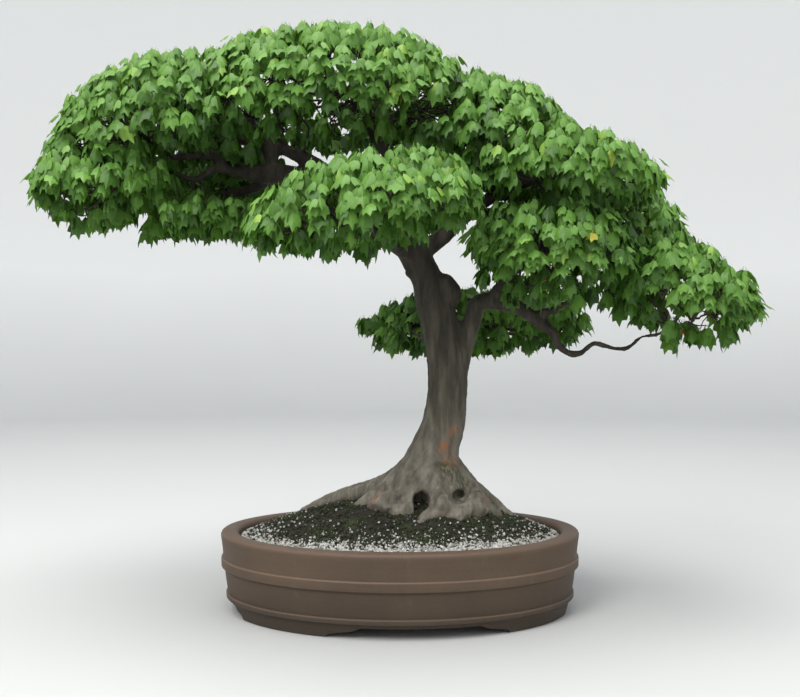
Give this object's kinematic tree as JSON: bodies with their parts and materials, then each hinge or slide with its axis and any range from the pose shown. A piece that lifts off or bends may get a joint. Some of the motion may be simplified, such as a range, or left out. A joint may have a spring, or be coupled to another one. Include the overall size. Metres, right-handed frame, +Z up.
{
  "type": "potted trident maple bonsai",
  "caption": "Broad-crowned trident maple bonsai with layered leaf masses and a flared trunk, in a shallow oval unglazed stoneware pot on bracket feet.",
  "frame": {"origin": "on the ground at the middle of the overall bounding box, which is also the middle of the pot's oval", "axes": "+X to the tree's right along the pot's length, seen from the front; +Y towards the back; +Z up"},
  "size_m": [0.993, 0.6156, 0.8168],
  "materials": {
    "stoneware": "matte",
    "mesh_plastic": "matte",
    "clip_wire": "satin",
    "bark": "matte",
    "leaves": "satin",
    "soil": "matte",
    "moss": "matte",
    "grit": "matte"
  },
  "bodies": {
    "root": {"pot": "stoneware", "drain_screen_left": "mesh_plastic", "screen_clip_left": "clip_wire", "drain_screen_right": "mesh_plastic", "screen_clip_right": "clip_wire", "wood": "bark", "soil": "soil", "moss": "moss", "grit": "grit", "leaves_crown_top": "leaves", "leaves_crown_left": "leaves", "leaves_crown_right": "leaves", "leaves_front": "leaves", "leaves_right_upper": "leaves", "leaves_right_low": "leaves", "leaves_right_tip": "leaves", "leaves_right_back": "leaves", "leaves_left_tip": "leaves", "leaves_left_low": "leaves", "leaves_left_back": "leaves", "leaves_back": "leaves", "leaves_back_low": "leaves"}
  },
  "joints": []
}
